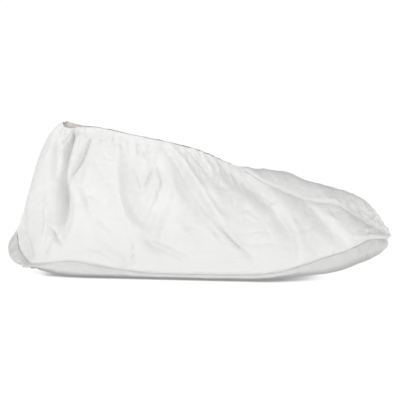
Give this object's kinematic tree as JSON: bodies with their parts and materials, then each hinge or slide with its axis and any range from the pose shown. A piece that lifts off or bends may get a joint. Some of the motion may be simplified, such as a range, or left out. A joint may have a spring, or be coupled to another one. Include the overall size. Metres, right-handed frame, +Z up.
{
  "type": "cleanroom shoe cover",
  "caption": "Slip-on fabric cover worn over a shoe, with two side panels seamed over the instep, an elastic opening and a curled-up grip sole",
  "frame": {"origin": "on the ground under the middle of the cover's box", "axes": "+X to the toe, -Y to the near side, +Z up"},
  "size_m": [0.3382, 0.1156, 0.1314],
  "materials": {
    "upper_cloth": "matt white film-faced nonwoven with a faint sheen",
    "sole_cloth": "satin coated grip fabric",
    "elastic_tape": "matt knitted elastic"
  },
  "bodies": {
    "root": {"side_panel_near": "upper_cloth", "side_panel_far": "upper_cloth", "sole": "sole_cloth", "elastic_band": "elastic_tape"}
  },
  "joints": []
}
